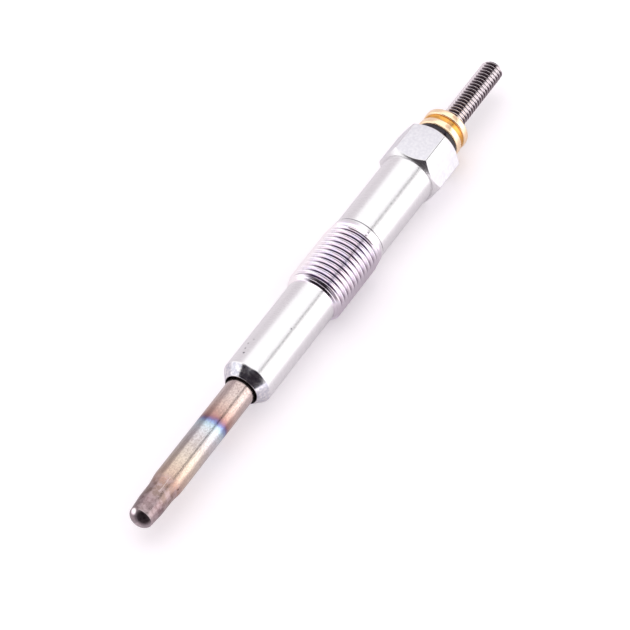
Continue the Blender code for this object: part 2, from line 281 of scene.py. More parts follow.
# %% Choose the angles
round_angles = np.radians(np.arange(0, 360, 3))
corner_middles = np.arange(30, 360, 60)
beside_corner = np.array([-1.9, -1.4, -1.0, -0.65, -0.3, 0.3, 0.65, 1.0, 1.4, 1.9])
corner_angles = np.radians((corner_middles[:, None] + beside_corner).ravel())
shell_angles = np.union1d(round_angles, corner_angles)
print("the shell has", len(shell_angles), "angles round its axis")

# %% Shape the hexagon
flats_half = 5.0
corner_r = 5.7185
corner_ease = 0.004


def hexagon_radius(angles):
    """Radius of a hexagon with a flat on top and turned-off corners, in mm.

    The flat is at half-width / cos(angle from its middle). The lesser of that
    and the corner radius is taken softly: -e log(exp(-flat/e) + exp(-corner/e)).
    """
    from_middle = (angles + np.pi / 6) % (np.pi / 3) - np.pi / 6
    flat = flats_half / np.cos(from_middle)
    soft = -corner_ease * np.logaddexp(-flat / corner_ease, -corner_r / corner_ease)
    return np.minimum(flat, soft)


hexagon = hexagon_radius(shell_angles)
hexagon_front, hexagon_rear = 81.00, 88.90
hexagon_face_r = 4.7485
chamfer_length, chamfer_depth = 0.85, 0.97
chamfer_slope = chamfer_length / chamfer_depth
chamfer_reach = (hexagon - hexagon_face_r) * chamfer_slope
print(f"across corners {2 * hexagon.max():.2f} mm, across flats {2 * hexagon.min():.2f} mm")

# %% Shape the body thread
lower_shank_r, upper_shank_r, collar_r = 4.23, 4.51, 4.62
thread_r, thread_root_r = 4.98, 4.42
thread_pitch, thread_phase = 1.0, 0.155
thread_front, thread_rear = 50.20, 65.14
thread_length = thread_rear - thread_front
rings_per_turn = 30
thread_rings = int(thread_length / thread_pitch * rings_per_turn)
thread_stations = np.linspace(thread_front, thread_rear, thread_rings)
crest_line = np.interp(
    thread_stations,
    [50.60, 50.92, 51.60, 62.50, 65.05, thread_rear],
    [lower_shank_r, 4.58, thread_r, thread_r, collar_r, collar_r],
)
root_line = np.interp(
    thread_stations,
    [50.60, 50.90, 51.02, 62.80, 64.30],
    [lower_shank_r, 4.56, thread_root_r, thread_root_r, 4.73],
)
body_thread = threaded(
    thread_stations, shell_angles, crest_line, root_line, thread_pitch, thread_phase
)
flank = (1 - CREST - ROOT) / 2 * thread_pitch
flank_angle = 2 * math.degrees(math.atan2(flank, thread_r - thread_root_r))
print(f"body thread: {thread_rings} rings, flanks at {flank_angle:.0f} degrees to each other")

# %% Build the shell
bore_r, mouth_r, counterbore_r = 2.48, 2.82, 3.03
mouth_front, mouth_floor, counterbore_floor = 29.55, 31.95, 84.70
cone_front_r, cone_rear_r = 2.95, 4.13
cone_rear, shank_front = 31.22, 31.40
undercut_front, undercut_rear, undercut_r = 65.20, 65.40, 4.38
front = [
    (mouth_floor, bore_r, 0.0),
    (mouth_floor, mouth_r, 0.1),
    (mouth_front, mouth_r, 0.05),
    (mouth_front, cone_front_r, 0.05),
    (cone_rear, cone_rear_r, 0.03),
    (shank_front, lower_shank_r, 0.05),
]
rear = [
    (undercut_front, undercut_r, 0.03),
    (undercut_rear, upper_shank_r, 0.03),
    (hexagon_front, upper_shank_r, 0.06),
    (hexagon_front, hexagon_face_r, 0.05),
    (hexagon_front + chamfer_reach, hexagon, 0.10),
    (hexagon_rear - chamfer_reach, hexagon, 0.10),
    (hexagon_rear, hexagon_face_r, 0.05),
    (hexagon_rear, counterbore_r, 0.08),
    (counterbore_floor, counterbore_r, 0.0),
    (counterbore_floor, bore_r, 0.1),
]
shell = turned("plug_shell", front + body_thread + rear, shell_angles, True)
stand_for(shell, "shell")

# %% [markdown]
# ## Heater sheath
#
# The sheath is a drawn tube, closed at the nose. It was swaged down over the
# packed powder, which leaves the smooth step behind the narrower neck, and the
# last millimetres taper a little towards the round nose.

# %% Build the sheath
sheath_r, neck_r, nose_r = 2.44, 2.17, 1.94
sheath_rear, sheath_wall = 42.55, 0.6
taper_rear, swage_front, swage_length = 3.75, 6.25, 2.6
FLATTER, WIDER, DEEPER = 2.4, 1.057, 1.72
SWAGE_RINGS = 13


def cap(pole, height, rim_r, count):
    """A blunt cap from its pole to its rim, a little flatter in front than a ball.

    With q = r / (WIDER rim) and n = FLATTER, the station is
    s = pole + DEEPER height (1 - (1 - q^n)^(1/n)).
    """
    r = rim_r * np.sin(np.linspace(0, np.pi / 2, count))
    q = r / (WIDER * rim_r)
    s = pole + DEEPER * height * (1 - (1 - q**FLATTER) ** (1 / FLATTER))
    return list(zip(s, r, np.zeros(count)))


def swage(inset):
    """The smooth step t*t*(3-2t) from the neck up to the tube's full radius."""
    t = np.linspace(0, 1, SWAGE_RINGS)
    radius = neck_r + (sheath_r - neck_r) * t * t * (3 - 2 * t) - inset
    return [(s, r, 0.0) for s, r in zip(swage_front + swage_length * t, radius)]


outside = cap(pole=0.0, height=1.0, rim_r=nose_r, count=14)[:-1]
outside += [(1.0, nose_r, 0.16), (taper_rear, neck_r, 0.3)] + swage(0.0)
outside += [(sheath_rear, sheath_r, 0.15)]
inside = [(sheath_rear, sheath_r - sheath_wall, 0.1)] + swage(sheath_wall)[::-1]
inside += [(taper_rear, neck_r - sheath_wall, 0.0)]
inside += cap(pole=0.9, height=1.0, rim_r=nose_r - sheath_wall, count=8)[::-1]
sheath = turned("glow_sheath", outside + inside, round_angles, False)
stand_for(sheath, "heater_sheath")

# %% [markdown]
# ## Centre rod and terminal stud
#
# A steel rod carries the current from the terminal to the coils. Its rear end
# is the M4 stud that the lead is screwed to. It is bare steel with a dark skin,
# so its thread shows as bright crests between dark grooves.

# %% Build the centre rod
spigot_r, core_r, rod_r = 0.83, 1.26, 1.75
rod_front, stud_front, rod_rear = 22.88, 89.60, 110.10
stud_r, stud_root_r, stud_tip_r = 1.94, 1.51, 1.32
stud_pitch, stud_phase = 0.7, 0.28
stud_rings_per_turn = 22
stud_rings = int((rod_rear - stud_front) / stud_pitch * stud_rings_per_turn)
stud_stations = np.linspace(stud_front, rod_rear, stud_rings)
stud_crest = np.interp(
    stud_stations, [stud_front, 109.48, rod_rear], [stud_r, stud_r, stud_tip_r]
)
stud_root = np.interp(
    stud_stations, [stud_front, 90.6, rod_rear], [stud_r, stud_root_r, stud_root_r]
)
core = [
    (rod_front, 0.0, 0.0),
    (rod_front, spigot_r, 0.15),
    (25.80, spigot_r, 0.05),
    (25.80, core_r, 0.1),
    (42.60, core_r, 0.1),
    (43.80, rod_r, 0.1),
    (88.95, rod_r, 0.1),
    (89.14, stud_r, 0.05),
]
stud = threaded(stud_stations, round_angles, stud_crest, stud_root, stud_pitch, stud_phase)
rod = turned("terminal_rod", core + stud + [(rod_rear, 0.0, 0.0)], round_angles, False)
stand_for(rod, "centre_rod")

# %% [markdown]
# ## Insulator and round nut
#
# The black bush keeps the rod off the shell, and the brass round nut clamps it.
# Both are simple turnings, and their charm is in the edges: the bush's round
# shoulder, and the nut's two ridges with a groove between them.

# %% Build the insulator
flange_r, bush_neck_r, stud_hole_r = 3.85, 2.99, 1.98
bush_front, flange_front, flange_rear = 86.00, 88.95, 90.55
insulator_profile = [
    (flange_front, bush_neck_r, 0.05),
    (flange_front, flange_r, 0.10),
    (flange_rear, flange_r, 0.25),
    (flange_rear, stud_hole_r, 0.08),
    (bush_front, stud_hole_r, 0.05),
    (bush_front, bush_neck_r, 0.10),
]
insulator = turned("insulating_bush", insulator_profile, round_angles, True)
stand_for(insulator, "insulator")

# %% Build the round nut
ridge_r, nut_groove_r = 3.97, 3.57
nut_front, nut_rear = 90.60, 94.30
nut_groove_front, nut_groove_rear = 91.95, 93.05
nut_profile = [
    (nut_front, ridge_r, 0.30),
    (nut_groove_front, ridge_r, 0.28),
    (92.02, nut_groove_r, 0.10),
    (92.98, nut_groove_r, 0.10),
    (nut_groove_rear, ridge_r, 0.28),
    (nut_rear, ridge_r, 0.35),
    (nut_rear, stud_hole_r, 0.10),
    (nut_front, stud_hole_r, 0.10),
]
nut = turned("brass_round_nut", nut_profile, round_angles, True)
stand_for(nut, "round_nut")

# %% [markdown]
# ## A hand for wiring nodes
#
# A finish in Blender is a tree of nodes. Clicking them together is fine for one
# finish, but the eight finishes of the plug share most of their parts, and a
# formula reads better as a line of text. This small class adds a node, fills its
# inputs with numbers or other nodes' outputs, and hands back what comes out.

# %% Wire nodes by name
class Wires:
    """Adds nodes to one tree and links them, so that a formula reads as it is meant."""

    def __init__(self, tree):
        self.tree = tree

    def add(self, kind, inputs=(), **settings):
        """Add one node. Inputs go by name or number, and take a value or an output."""
        node = self.tree.nodes.new(kind if kind.startswith("NodeGroup") else "ShaderNode" + kind)
        for name, value in settings.items():
            setattr(node, name, value)
        for name, value in dict(inputs).items():
            self.put(node.inputs[name], value)
        return node

    def put(self, socket, value):
        """Set an input to a value, or link it to another node's output."""
        if isinstance(value, bpy.types.NodeSocket):
            self.tree.links.new(value, socket)
        else:
            socket.default_value = value

    def calc(self, operation, *values):
        """One step of arithmetic on numbers or outputs."""
        return self.add("Math", dict(enumerate(values)), operation=operation).outputs[0]

    def times(self, one, other):
        """The product of two values."""
        return self.calc("MULTIPLY", one, other)

    def most(self, one, other):
        """The greater of two values."""
        return self.calc("MAXIMUM", one, other)

    def line(self, value, slope, start):
        """value * slope + start."""
        return self.calc("MULTIPLY_ADD", value, slope, start)

    def fade(self, value, low, high, at_low=0.0, at_high=1.0):
        """A smooth step of a value: at_low up to low, at_high from high on."""
        ends = {"From Min": low, "From Max": high, "To Min": at_low, "To Max": at_high}
        step = self.add("MapRange", {"Value": value, **ends}, interpolation_type="SMOOTHSTEP")
        return step.outputs["Result"]

    def fall(self, value, low, high):
        """A smooth step down: 1 up to low, 0 from high on."""
        return self.fade(value, low, high, 1.0, 0.0)

    def between(self, value, low, high, soft):
        """1 where a value lies between low and high, with a soft edge on both sides."""
        rise = self.fade(value, low - soft, low + soft)
        return self.times(rise, self.fall(value, high - soft, high + soft))

    def lay(self, share, under, over):
        """Lay one colour over another by a share from 0 to 1."""
        node = self.add("Mix", {0: share, 6: under, 7: over}, data_type="RGBA")
        return node.outputs[2]

    def use(self, group, inputs=()):
        """Place a finished node group and give its outputs."""
        return self.add("Group", inputs, node_tree=group).outputs

    def pattern(self, group, here, **settings):
        """What a shared pattern gives at a point of the plug."""
        return self.use(group, {"Place": here["Place"], **settings})[0]


def effect(name, inputs, outputs):
    """A new node group. Inputs are (name, usual value) and outputs are names."""
    group = bpy.data.node_groups.new(name, "ShaderNodeTree")
    for label, usual in inputs:
        kind = "NodeSocketFloat" if usual is not None else "NodeSocketVector"
        socket = group.interface.new_socket(label, in_out="INPUT", socket_type=kind)
        if usual is not None:
            socket.default_value = usual
    for label in outputs:
        kind = "NodeSocketVector" if label == "Place" else "NodeSocketFloat"
        group.interface.new_socket(label, in_out="OUTPUT", socket_type=kind)
    wires = Wires(group)
    return group, wires, wires.add("NodeGroupInput").outputs, wires.add("NodeGroupOutput").inputs


# %% [markdown]
# ## Where a point lies on the plug
#
# A turned part wears, tints and shines by station, not by any flat picture
# wrapped round it. So each finish starts from the same three numbers: how far
# along the axis a point is, which way it faces, and how far out it lies. They
# come from Object coordinates, which are in metres from the plug's origin.
# The way it faces, its turn, is 0 straight up, and grows towards +Y, away from
# the camera's side.

# %% Measure a point's place
on_plug, wires, given, gives = effect(
    "place on the plug", [], ["Place", "Station", "Turn", "Radius"]
)
coordinates = wires.add("TexCoord").outputs["Object"]
nose_at = (-nose_x / MM, 0, -axis_z / MM)
centred = {"Vector": coordinates, "Location": nose_at, "Scale": (1 / MM,) * 3}
place = wires.add("Mapping", centred).outputs[0]
parts = wires.add("SeparateXYZ", {0: place}).outputs
wires.put(gives["Place"], place)
wires.put(gives["Station"], parts["X"])
wires.put(gives["Turn"], wires.calc("ARCTAN2", parts["Y"], parts["Z"]))
squares = wires.line(parts["Z"], parts["Z"], wires.times(parts["Y"], parts["Y"]))
wires.put(gives["Radius"], wires.calc("SQRT", squares))
print("place on the plug:", ", ".join(socket.name for socket in gives if socket.name))

# %% [markdown]
# ## Four effects that the finishes share
#
# Each is a node group, built once and placed in a finish with its own values.
#
# - Grain is noise that is squeezed along the axis and stretched round it, or the
#   other way. Squeezed, it makes the fine lines a lathe leaves; stretched, the
#   streaks of a drawn tube.
# - Mottle is plain noise with its contrast set, for stains and uneven plating.
# - Specks are round dots at random places, for pits and flecks.
# - A spot is one dot at a chosen place, for a pit, a rubbed place or soot.

# %% Grain
grain, wires, given, gives = effect(
    "grain",
    [("Place", None), ("Along", 0.1), ("Round", 4.0), ("Low", 0.3), ("High", 0.7)],
    ["Grain"],
)
across = wires.calc("DIVIDE", 1.0, given["Round"])
along = wires.calc("DIVIDE", 1.0, given["Along"])
stretch = wires.add("CombineXYZ", {0: along, 1: across, 2: across}).outputs[0]
squeezed = wires.add("VectorMath", {0: given["Place"], 1: stretch}, operation="MULTIPLY")
noise = wires.add(
    "TexNoise", {"Vector": squeezed.outputs[0], "Scale": 1.0, "Detail": 3.0, "Roughness": 0.6}
)
wires.put(gives["Grain"], wires.fade(noise.outputs[0], given["Low"], given["High"]))

# %% Mottle
mottle, wires, given, gives = effect(
    "mottle", [("Place", None), ("Size", 1.0), ("Low", 0.35), ("High", 0.65)], ["Mottle"]
)
scale = wires.calc("DIVIDE", 1.0, given["Size"])
noise = wires.add(
    "TexNoise", {"Vector": given["Place"], "Scale": scale, "Detail": 4.0, "Roughness": 0.55}
)
wires.put(gives["Mottle"], wires.fade(noise.outputs[0], given["Low"], given["High"]))

# %% Specks
specks, wires, given, gives = effect(
    "specks", [("Place", None), ("Spacing", 1.0), ("Share", 0.3), ("Size", 0.1)], ["Specks"]
)
scale = wires.calc("DIVIDE", 1.0, given["Spacing"])
cells = wires.add("TexVoronoi", {"Vector": given["Place"], "Scale": scale}, feature="F1")
chance = wires.add("SeparateColor", {0: cells.outputs["Color"]}).outputs
reach = wires.times(given["Size"], wires.calc("ADD", chance[1], 0.5))
dot = wires.fall(wires.calc("DIVIDE", cells.outputs["Distance"], reach), 0.5, 1.0)
chosen = wires.calc("LESS_THAN", chance[0], given["Share"])
wires.put(gives["Specks"], wires.times(dot, chosen))

# %% Spot
one_spot, wires, given, gives = effect(
    "spot", [("Place", None), ("Centre", None), ("Size", 0.2)], ["Spot"]
)
apart = wires.add("VectorMath", {0: given["Place"], 1: given["Centre"]}, operation="DISTANCE")
solid_share = 0.4
solid = wires.times(given["Size"], solid_share)
wires.put(gives["Spot"], wires.fall(apart.outputs["Value"], solid, given["Size"]))


def spot(wires, here, station, down, radius, size):
    """A dot of a size in mm at a station and a radius.

    It is turned down from the top towards -Y, the camera's side, by degrees.
    """
    angle = math.radians(down)
    centre = (station, -radius * math.sin(angle), radius * math.cos(angle))
    return wires.pattern(one_spot, here, Centre=centre, Size=size)


print("shared effects:", ", ".join(group.name for group in bpy.data.node_groups))

# %% [markdown]
# ## Starting a finish
#
# Each finish is one material with one Principled shader. The bump's reach is a
# few thousandths of a millimetre, so that it changes how light glances off and
# never fakes a shape that belongs in the mesh.

# %% Start a finish
def finish(name, metallic, **plain):
    """A material, its wires, its shader's inputs and the plug's measures for it."""
    material = bpy.data.materials.new(name)
    material.use_nodes = True
    wires = Wires(material.node_tree)
    shader = material.node_tree.nodes["Principled BSDF"]
    shader.inputs["Metallic"].default_value = metallic
    for label, value in plain.items():
        shader.inputs[label.replace("_", " ")].default_value = value
    return material, wires, shader.inputs, wires.use(on_plug)


def emboss(wires, inputs, height, reach):
    """Bump the surface by a height of 0 to 1 times a reach in mm."""
    bump = wires.add("Bump", {"Height": height, "Strength": 1.0, "Distance": reach * MM})
    wires.put(inputs["Normal"], bump.outputs["Normal"])


def dress(piece, material):
    """Give a piece its finish in place of any other."""
    piece.data.materials.clear()
    piece.data.materials.append(material)
    print(f"{piece.name} wears {material.name}, {len(material.node_tree.nodes)} nodes")


# %% [markdown]
# ## Plated steel
#
# The shell is bright zinc plate: nearly white, with a faint lilac cast. It isn't
# one even gloss. The turned shanks are satin with fine lathe lines, and a few
# small pits sit on the lower one. The flats of the hexagon come from drawn bar
# and are duller and clouded, and the cone is mottled where it has sealed. The
# thread is glossy on its crests, with a painted highlight on the crests of the
# upper back side and painted shade on those low on the camera's side. Painted
# shade darkens its grooves (less on the back and under sides), the half-cut first
# turn on the camera's side and the undercut. Inside the mouth the steel is near
# black. Masks of station, turn and radius say where each of these is.

# %% Measure the parts of the shell
plate, wires, inputs, here = finish("bright zinc plate", 1.0)
station, turn, radius = here["Station"], here["Turn"], here["Radius"]
steep = 1 / chamfer_slope
front_cone = wires.line(station, steep, hexagon_face_r - hexagon_front / chamfer_slope)
rear_cone = wires.line(station, -steep, hexagon_face_r + hexagon_rear / chamfer_slope)
nearest_cone = wires.calc("MINIMUM", front_cone, rear_cone)
inside_chamfers = wires.fade(wires.calc("SUBTRACT", nearest_cone, radius), 0.03, 0.10)
on_flats = wires.times(inside_chamfers, wires.fade(radius, 4.92, 4.98))
on_flats = wires.times(on_flats, wires.between(station, hexagon_front, hexagon_rear, 0.05))
on_corner = wires.fade(radius, 5.690, 5.712)
on_flats = wires.times(on_flats, wires.calc("SUBTRACT", 1.0, on_corner))
on_thread = wires.between(station, 50.3, 64.6, 0.3)
on_cone = wires.between(station, 29.0, 31.3, 0.1)
near_bore = wires.fall(radius, 2.80, 2.87)
in_mouth = wires.times(near_bore, wires.fall(station, 70.0, 70.1))

# %% Find where shade is painted
# Painted shade: the grooves, the first turn and the undercut are darkened, and the grooves less
# so on the back and under sides.
groove_shade = wires.fall(radius, 4.53, 4.62)
groove_shade = wires.times(groove_shade, wires.between(station, 51.45, 63.6, 0.1))
lighter_behind = wires.line(wires.between(turn, 0.35, 1.60, 0.2), -0.5, 1.0)
lighter_below = wires.line(wires.between(turn, -2.0, -0.92, 0.2), -0.45, 1.0)
groove_shade = wires.times(groove_shade, lighter_behind)
groove_shade = wires.times(groove_shade, lighter_below)
start_line = wires.between(station, 50.66, 50.93, 0.03)
first_turn_shade = wires.most(start_line, wires.between(station, 51.13, 51.42, 0.04))
first_turn_shade = wires.times(first_turn_shade, wires.between(turn, -1.15, 0.28, 0.15))
undercut = wires.between(station, 65.18, 65.40, 0.02)
painted_shade = wires.most(wires.times(first_turn_shade, 0.70), wires.times(undercut, 0.8))
painted_shade = wires.most(groove_shade, painted_shade)
shank_pits = (
    (33.48, -25.9, 0.24),
    (34.49, -31.1, 0.19),
    (35.61, -33.8, 0.18),
    (36.56, -26.7, 0.15),
    (41.33, 27.7, 0.18),
)
pits = wires.pattern(specks, here, Spacing=2.2, Share=0.16, Size=0.045)
for along, down, size in shank_pits:
    pits = wires.most(pits, spot(wires, here, along, down, lower_shank_r, size))
print(len(shank_pits), "pits on the lower shank")

# %% Colour the plate
cloud = wires.pattern(mottle, here, Size=0.55, Low=0.36, High=0.66)
stain = wires.pattern(mottle, here, Size=2.6, Low=0.45, High=0.75)
tint = wires.pattern(mottle, here, Size=1.4, Low=0.35, High=0.65)
zinc = wires.lay(wires.times(stain, 0.35), (0.73, 0.72, 0.73, 1), (0.68, 0.67, 0.69, 1))
drawn = wires.lay(cloud, (0.63, 0.62, 0.66, 1), (0.70, 0.69, 0.72, 1))
crest = wires.lay(tint, (0.86, 0.78, 0.83, 1), (0.81, 0.77, 0.86, 1))
# Painted highlight: the crests are lighter on the upper back side.
crest = wires.lay(wires.between(turn, 0.68, 1.60, 0.18), crest, (0.96, 0.92, 0.93, 1))
# Painted shade: the crests are darker low on the camera's side.
crest = wires.lay(wires.between(turn, -2.0, -1.3, 0.16), crest, (0.62, 0.56, 0.62, 1))
# The colour of the painted shade in the grooves, the first turn and the undercut.
shade_colour = wires.lay(tint, (0.050, 0.025, 0.055, 1), (0.035, 0.020, 0.065, 1))
cone = wires.lay(cloud, (0.50, 0.50, 0.57, 1), (0.76, 0.74, 0.75, 1))
colour = wires.lay(on_flats, zinc, drawn)
colour = wires.lay(on_thread, colour, crest)
colour = wires.lay(painted_shade, colour, shade_colour)
colour = wires.lay(on_cone, colour, cone)
colour = wires.lay(wires.times(pits, 0.95), colour, (0.10, 0.09, 0.11, 1))
# The inside of the bore is coloured near black.
colour = wires.lay(in_mouth, colour, (0.012, 0.004, 0.007, 1))
wires.put(inputs["Base Color"], colour)

# %% Set the plate's gloss and its small relief
lathe = wires.pattern(grain, here, Along=0.05, Round=5.0)
gloss = wires.line(lathe, 0.05, 0.25)
gloss = wires.line(on_cone, wires.line(cloud, 0.05, -0.12), gloss)
gloss = wires.line(on_thread, -0.09, gloss)
gloss = wires.line(on_flats, 0.19, gloss)
gloss = wires.line(on_corner, -0.15, gloss)
gloss = wires.most(gloss, wires.times(in_mouth, 0.85))
wires.put(inputs["Roughness"], gloss)
height = wires.line(wires.times(cloud, on_flats), 1.0, wires.times(lathe, 0.25))
emboss(wires, inputs, wires.line(pits, -3.0, height), 0.004)
dress(shell, plate)

# %% [markdown]
# ## Heat-tinted alloy
#
# The sheath has been hot. Its oxide skin is thinnest far from the nose and grows
# towards it, and each thickness of skin takes its own colour out of white light,
# as on tempered steel. From the shell's side come straw and tan, red-brown, a
# thin line of magenta, deep blue, light blue, silver, cream, peach and, round the
# coil's hottest turns, mauve-brown. The tints are a colour ramp over the station.
# Slow noise moves each tint's border a little, as the real ones wander, and the
# borders lean a little round the tube too.

# %% List the tints from the nose to the shell
tints = [
    (0.0, (0.41, 0.35, 0.38)),
    (0.9, (0.34, 0.28, 0.30)),
    (1.3, (0.29, 0.22, 0.23)),
    (3.4, (0.24, 0.16, 0.17)),
    (4.6, (0.28, 0.20, 0.18)),
    (6.4, (0.31, 0.21, 0.18)),
    (7.6, (0.43, 0.27, 0.22)),
    (8.7, (0.56, 0.41, 0.33)),
    (12.0, (0.62, 0.52, 0.43)),
    (15.6, (0.55, 0.49, 0.47)),
    (17.4, (0.58, 0.55, 0.57)),
    (18.95, (0.58, 0.63, 0.67)),
    (19.9, (0.46, 0.60, 0.69)),
    (20.35, (0.28, 0.38, 0.62)),
    (20.75, (0.18, 0.18, 0.38)),
    (21.1, (0.24, 0.14, 0.24)),
    (21.5, (0.34, 0.17, 0.18)),
    (22.2, (0.45, 0.27, 0.23)),
    (23.9, (0.57, 0.42, 0.37)),
    (26.5, (0.58, 0.48, 0.45)),
    (29.5, (0.58, 0.47, 0.45)),
]
tint_length = 30.0

# %% Tint the sheath
alloy, wires, inputs, here = finish("heat-tinted alloy", 1.0)
station, turn = here["Station"], here["Turn"]
wander = wires.pattern(mottle, here, Size=1.9, Low=0.3, High=0.7)
shifted = wires.line(wires.calc("SUBTRACT", wander, 0.5), 0.4, station)
shifted = wires.line(wires.calc("SINE", turn), 0.25, shifted)
ramp = wires.add("ValToRGB", {0: wires.calc("DIVIDE", shifted, tint_length)})
stops = ramp.color_ramp.elements
while len(stops) < len(tints):
    stops.new(0.5)
for stop, (along, tone) in zip(stops, tints):
    stop.position = along / tint_length
    stop.color = (*tone, 1)
print("the ramp holds", len(stops), "tints over", tint_length, "mm")

# %% [markdown]
# ### Wear, painted shade and marks on the sheath
#
# Over the tints lie the marks of use. A fine speckle and the streaks of the
# drawn tube break the skin all along, and near the nose it is patchy. Painted
# shade darkens the upper side that faces away from the camera, in place of a
# darker reflection there. On the nose, on the camera's side, is a round dark
# patch, partly soot and partly a painted dark reflection, with a painted
# highlight above it. Then there are two pits, some small specks and one short
# scratch along the step.

# %% Wear, mark and paint shade on the sheath
speckle = wires.pattern(mottle, here, Size=0.28, Low=0.38, High=0.60)
streak = wires.pattern(grain, here, Along=2.2, Round=0.28, Low=0.35, High=0.62)
wear = wires.line(streak, 0.35, wires.times(speckle, 0.65))
colour = wires.lay(wires.line(wear, -0.40, 0.38), ramp.outputs[0], (0.20, 0.15, 0.14, 1))
near_nose = wires.fall(station, 7.5, 9.0)
patchy = wires.times(wires.pattern(mottle, here, Size=0.9, Low=0.42, High=0.6), near_nose)
colour = wires.lay(wires.times(patchy, 0.46), colour, (0.54, 0.42, 0.44, 1))
# Painted shade: the upper side, away from the camera, is darkened in place of a darker
# reflection there.
side_shade = wires.times(wires.fade(turn, 0.12, 0.32), wires.fall(turn, 1.6, 2.8))
side_shade = wires.times(side_shade, wires.fade(station, 20.5, 22.5, 0.34, 0.16))
colour = wires.lay(side_shade, colour, (0.07, 0.05, 0.055, 1))
# A dark patch on the nose, on the camera's side: partly soot, partly a painted dark reflection.
patch_mottle = wires.pattern(mottle, here, Size=0.6, Low=0.25, High=0.6)
nose_dark_spot = spot(wires, here, station=0.49, down=35.0, radius=1.60, size=1.95)
soot_and_shade = wires.times(nose_dark_spot, wires.fall(station, 0.97, 1.03))
soot_and_shade = wires.times(soot_and_shade, wires.line(patch_mottle, -0.08, 0.995))
colour = wires.lay(soot_and_shade, colour, (0.014, 0.007, 0.010, 1))
# Painted highlight on the nose, above the dark patch.
painted_highlight = spot(wires, here, station=0.63, down=-36.0, radius=1.73, size=0.72)
colour = wires.lay(painted_highlight, colour, (0.98, 0.88, 0.92, 1))
pits = spot(wires, here, station=7.88, down=73.8, radius=2.40, size=0.24)
pits = wires.most(pits, spot(wires, here, station=27.61, down=19.5, radius=2.44, size=0.13))
pits = wires.most(pits, wires.pattern(specks, here, Spacing=1.6, Share=0.2, Size=0.06))
colour = wires.lay(wires.times(pits, 0.8), colour, (0.10, 0.05, 0.06, 1))
scratch_run = wires.between(station, 5.35, 8.3, 0.08)
scratch = wires.times(scratch_run, wires.between(turn, -0.313, -0.288, 0.012))
colour = wires.lay(wires.times(scratch, 0.8), colour, (0.70, 0.61, 0.60, 1))
wires.put(inputs["Base Color"], colour)

# %% Set the sheath's gloss and its small relief
gloss = wires.line(wear, -0.10, 0.27)
gloss = wires.line(patchy, 0.10, gloss)
gloss = wires.line(soot_and_shade, 0.30, gloss)
wires.put(inputs["Roughness"], wires.line(near_nose, 0.06, gloss))
height = wires.line(streak, 0.8, wires.times(speckle, 0.5))
emboss(wires, inputs, wires.line(pits, -3.0, height), 0.005)
dress(sheath, alloy)

# %% [markdown]
# ## Terminal steel
#
# The stud is bare rolled steel with a brown-black skin of phosphate. Handling and
# nuts have polished the crests of its thread, so the finish follows the radius:
# black in the root, dark on the flanks, brighter and smoother at the crest. In
# two bands along the stud, one low on the camera's side and one on top, flanks
# and crests are painted bright: a painted highlight where the room's bright
# reflections fall.

# %% Finish the rod and its stud
dark_steel, wires, inputs, here = finish("phosphated steel", 1.0)
turn, radius = here["Turn"], here["Radius"]
worn = wires.fade(radius, 1.84, 1.92)
deep = wires.fall(radius, 1.56, 1.66)
# Painted highlight: bright bands low on the camera's side and on top.
low_highlight_band = wires.between(turn, -1.22, -0.54, 0.08)
painted_highlight = wires.most(low_highlight_band, wires.between(turn, 0.62, 1.20, 0.08))
cloud = wires.pattern(mottle, here, Size=0.5, Low=0.3, High=0.7)
crest = wires.lay(cloud, (0.42, 0.37, 0.39, 1), (0.54, 0.49, 0.51, 1))
crest = wires.lay(painted_highlight, crest, (0.80, 0.75, 0.77, 1))
flank = wires.lay(painted_highlight, (0.15, 0.12, 0.135, 1), (0.78, 0.73, 0.75, 1))
colour = wires.lay(worn, flank, crest)
wires.put(inputs["Base Color"], wires.lay(deep, colour, (0.030, 0.020, 0.028, 1)))
wires.put(inputs["Roughness"], wires.line(worn, -0.08, 0.28))
rolled = wires.pattern(grain, here, Along=0.06, Round=2.0)
emboss(wires, inputs, wires.line(rolled, 0.4, cloud), 0.003)
dress(rod, dark_steel)

# %% [markdown]
# ## Brass
#
# The round nut is turned brass, pale and bright on its ridges. In the groove the
# light bounces from wall to wall, and brass reddens at each bounce; a little
# deeper colour there makes up for the bounces that a render leaves out. Brown
# tarnish marks sit on both ridges and in the groove.

# %% Finish the round nut
brass, wires, inputs, here = finish("turned brass", 1.0)
deep = wires.fall(here["Radius"], 3.62, 3.86)
nut_middle = wires.between(here["Station"], nut_groove_front, nut_groove_rear, 0.02)
cloud = wires.pattern(mottle, here, Size=1.1, Low=0.4, High=0.7)
colour = wires.lay(wires.times(cloud, 0.5), (0.92, 0.72, 0.50, 1), (0.90, 0.66, 0.42, 1))
colour = wires.lay(wires.times(deep, nut_middle), colour, (0.70, 0.36, 0.08, 1))
tarnish = wires.pattern(specks, here, Spacing=1.7, Share=0.16, Size=0.12)
tarnish_down = 23.0
tarnish_marks = ((91.35, ridge_r, 0.55), (92.25, nut_groove_r, 0.65), (93.75, ridge_r, 0.50))
for along, out, size in tarnish_marks:
    tarnish = wires.most(tarnish, spot(wires, here, along, tarnish_down, out, size))
colour = wires.lay(wires.times(tarnish, 0.5), colour, (0.36, 0.17, 0.10, 1))
wires.put(inputs["Base Color"], colour)
lathe = wires.pattern(grain, here, Along=0.05, Round=6.0)
wires.put(inputs["Roughness"], wires.line(cloud, 0.06, wires.line(lathe, 0.05, 0.22)))
emboss(wires, inputs, wires.line(lathe, 0.6, wires.times(cloud, 0.5)), 0.003)
dress(nut, brass)

# %% [markdown]
# ## Black plastic, rubber, wire and powder
#
# The bush is glass-filled black plastic with a moulded gloss. Inside the plug,
# out of sight unless it is cut open, are two rubber rings, two coils of
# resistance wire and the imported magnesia. They get finishes of their own too,
# because a section through the plug shows them all.

